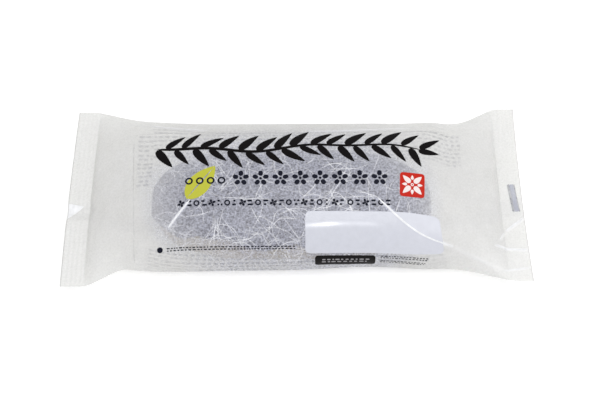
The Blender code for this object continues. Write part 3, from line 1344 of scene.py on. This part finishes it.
class ECLAIR_OT_creases(bpy.types.Operator):
    """Paints white highlight lines along the film's sharp folds, and a wedge of glare in the left
    seal's kink.
    """

    bl_idname = "eclair.creases"
    bl_label = "Crease lines"

    def execute(self, context):
        bm = bmesh.new()
        for points, _, width, glint_strength in COURSES:
            if glint_strength < FAINTEST_CREASE:
                continue
            course = [self.to_film(x, y) for x, y in points]
            last = len(course) - 1
            widths = [
                1.4 * width * glint_strength * math.sin(math.pi * (0.03 + 0.94 * i / last)) ** 0.6
                for i in range(last + 1)
            ]
            lay_shape(bm, stroke_shape(course, widths), (3 * last, 2), (0, 0), lift=CREASE_LIFT)
        # A painted wedge of glare stands in for the lamp's glint in the left seal's kink
        lay_shape(bm, self.notch_glare, (12, 6), (0, 0), lift=CREASE_LIFT)
        # Painted highlight: white lines along the sharp folds stand in for the lamp's glint on them
        material = thin_ink_material("painted_crease_glint_film", linear("f8f9fc"), 0.75, 1.0)
        add_piece("crease_lines", bm, material)
        return {"FINISHED"}

    def notch_glare(self, u, v):
        """The wedge of glare in the left seal's kink: wide at the cut edge and drawn to a tip."""
        t = 0.5 + 0.5 * u
        far, near = -4.8 - 1.1 * t, -12.4 + 6.5 * t
        return -99.7 + 6.9 * t, near + (far - near) * (0.5 + 0.5 * v)

    def to_film(self, x, y):
        """Film millimetres of a place (x, y) in mm on the top film."""
        side = 1 if y > 0 else -1
        lengths = girth(round(x), side)
        for i in range(GIRTH_STEPS // 2):
            if abs(film_point(x * MM, side * (i + 1) / GIRTH_STEPS).y) >= abs(y) * MM:
                break
        near = abs(film_point(x * MM, side * i / GIRTH_STEPS).y)
        far = abs(film_point(x * MM, side * (i + 1) / GIRTH_STEPS).y)
        part = min(max((abs(y) * MM - near) / (far - near), 0.0), 1.0)
        return x, side * (lengths[i] + (lengths[i + 1] - lengths[i]) * part) / MM


class ECLAIR_OT_stage(bpy.types.Operator):
    """Sets the studio floor, the soft light and the camera."""

    bl_idname = "eclair.stage"
    bl_label = "Stage"

    def execute(self, context):
        stage = context.scene.eclair_stage
        self.add_floor(stage)
        self.add_sky(context.scene, stage)
        self.add_lamp("overhead_box", OVERHEAD_PLACE, OVERHEAD_SIZE, stage.overhead)
        self.add_lamp("key_box", KEY_PLACE, KEY_SIZE, stage.key)
        self.add_camera(context.scene)
        context.scene.view_settings.view_transform = "Standard"
        context.scene.view_settings.look = "None"
        return {"FINISHED"}

    def add_floor(self, stage):
        """A wide round floor just under the pack."""
        bm = bmesh.new()
        bmesh.ops.create_circle(bm, cap_ends=True, segments=96, radius=FLOOR_RADIUS)
        mesh = bpy.data.meshes.new("studio_floor")
        bm.to_mesh(mesh)
        bm.free()
        mesh.materials.append(floor_material(stage))
        floor = bpy.data.objects.new("studio_floor", mesh)
        bpy.context.scene.collection.objects.link(floor)

    def add_sky(self, scene, stage):
        """Even white light from all round."""
        world = bpy.data.worlds.new("white_studio")
        world.use_nodes = True
        background = world.node_tree.nodes["Background"]
        background.inputs["Color"].default_value = (1.0, 1.0, 1.0, 1.0)
        background.inputs["Strength"].default_value = stage.sky
        scene.world = world

    def add_lamp(self, name, place, size, power):
        """A square soft box that faces the pack."""
        lamp = bpy.data.lights.new(name, "AREA")
        lamp.size = size
        lamp.energy = power
        holder = bpy.data.objects.new(name, lamp)
        holder.location = place
        holder.rotation_euler = (LIT_PLACE - place).to_track_quat("-Z", "Y").to_euler()
        bpy.context.scene.collection.objects.link(holder)

    def add_camera(self, scene):
        """The photograph's view: from the near side, well above the pack."""
        level = math.cos(CAMERA_ELEVATION)
        away = -math.cos(CAMERA_AZIMUTH) * level
        back = Vector((math.sin(CAMERA_AZIMUTH) * level, away, math.sin(CAMERA_ELEVATION)))
        lens = bpy.data.cameras.new("camera")
        lens.lens = LENS_LENGTH_IN_MM
        lens.sensor_width = 36.0
        lens.clip_start = 0.01
        camera = bpy.data.objects.new("camera", lens)
        camera.location = CAMERA_TARGET + back * CAMERA_DISTANCE
        camera.rotation_euler = (-back).to_track_quat("-Z", "Y").to_euler()
        scene.collection.objects.link(camera)
        scene.camera = camera


class ECLAIR_PT_panel(bpy.types.Panel):
    """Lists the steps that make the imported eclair."""

    bl_label = "Packed eclair"
    bl_idname = "ECLAIR_PT_panel"
    bl_space_type = "VIEW_3D"
    bl_region_type = "UI"
    bl_category = "Eclair"

    def draw(self, context):
        for settings in ("eclair_film", "eclair_food", "eclair_print", "eclair_stage"):
            group = getattr(context.scene, settings)
            for name in group.__annotations__:
                self.layout.prop(group, name)
        for operator in OPERATORS:
            self.layout.operator(operator.bl_idname)


SETTINGS = {
    "eclair_film": FilmSettings,
    "eclair_food": EclairSettings,
    "eclair_print": PrintSettings,
    "eclair_stage": StageSettings,
}
OPERATORS = (
    ECLAIR_OT_choux,
    ECLAIR_OT_icing,
    ECLAIR_OT_film,
    ECLAIR_OT_fin,
    ECLAIR_OT_fibres,
    ECLAIR_OT_creases,
    ECLAIR_OT_branch,
    ECLAIR_OT_rows,
    ECLAIR_OT_leaf,
    ECLAIR_OT_stamp,
    ECLAIR_OT_label,
    ECLAIR_OT_back_print,
    ECLAIR_OT_stage,
)


def register():
    for name, group in SETTINGS.items():
        bpy.utils.register_class(group)
        setattr(bpy.types.Scene, name, PointerProperty(type=group))
    for operator in OPERATORS:
        bpy.utils.register_class(operator)
    bpy.utils.register_class(ECLAIR_PT_panel)


def unregister():
    bpy.utils.unregister_class(ECLAIR_PT_panel)
    for operator in reversed(OPERATORS):
        bpy.utils.unregister_class(operator)
    for name, group in SETTINGS.items():
        delattr(bpy.types.Scene, name)
        bpy.utils.unregister_class(group)


def main():
    register()
    bpy.ops.eclair.choux()
    bpy.ops.eclair.icing()
    bpy.ops.eclair.film()
    bpy.ops.eclair.fin()
    bpy.ops.eclair.fibres()
    bpy.ops.eclair.creases()
    bpy.ops.eclair.branch()
    bpy.ops.eclair.rows()
    bpy.ops.eclair.leaf()
    bpy.ops.eclair.stamp()
    bpy.ops.eclair.label()
    bpy.ops.eclair.back_print()
    bpy.ops.eclair.stage()


if __name__ == "__main__":
    main()
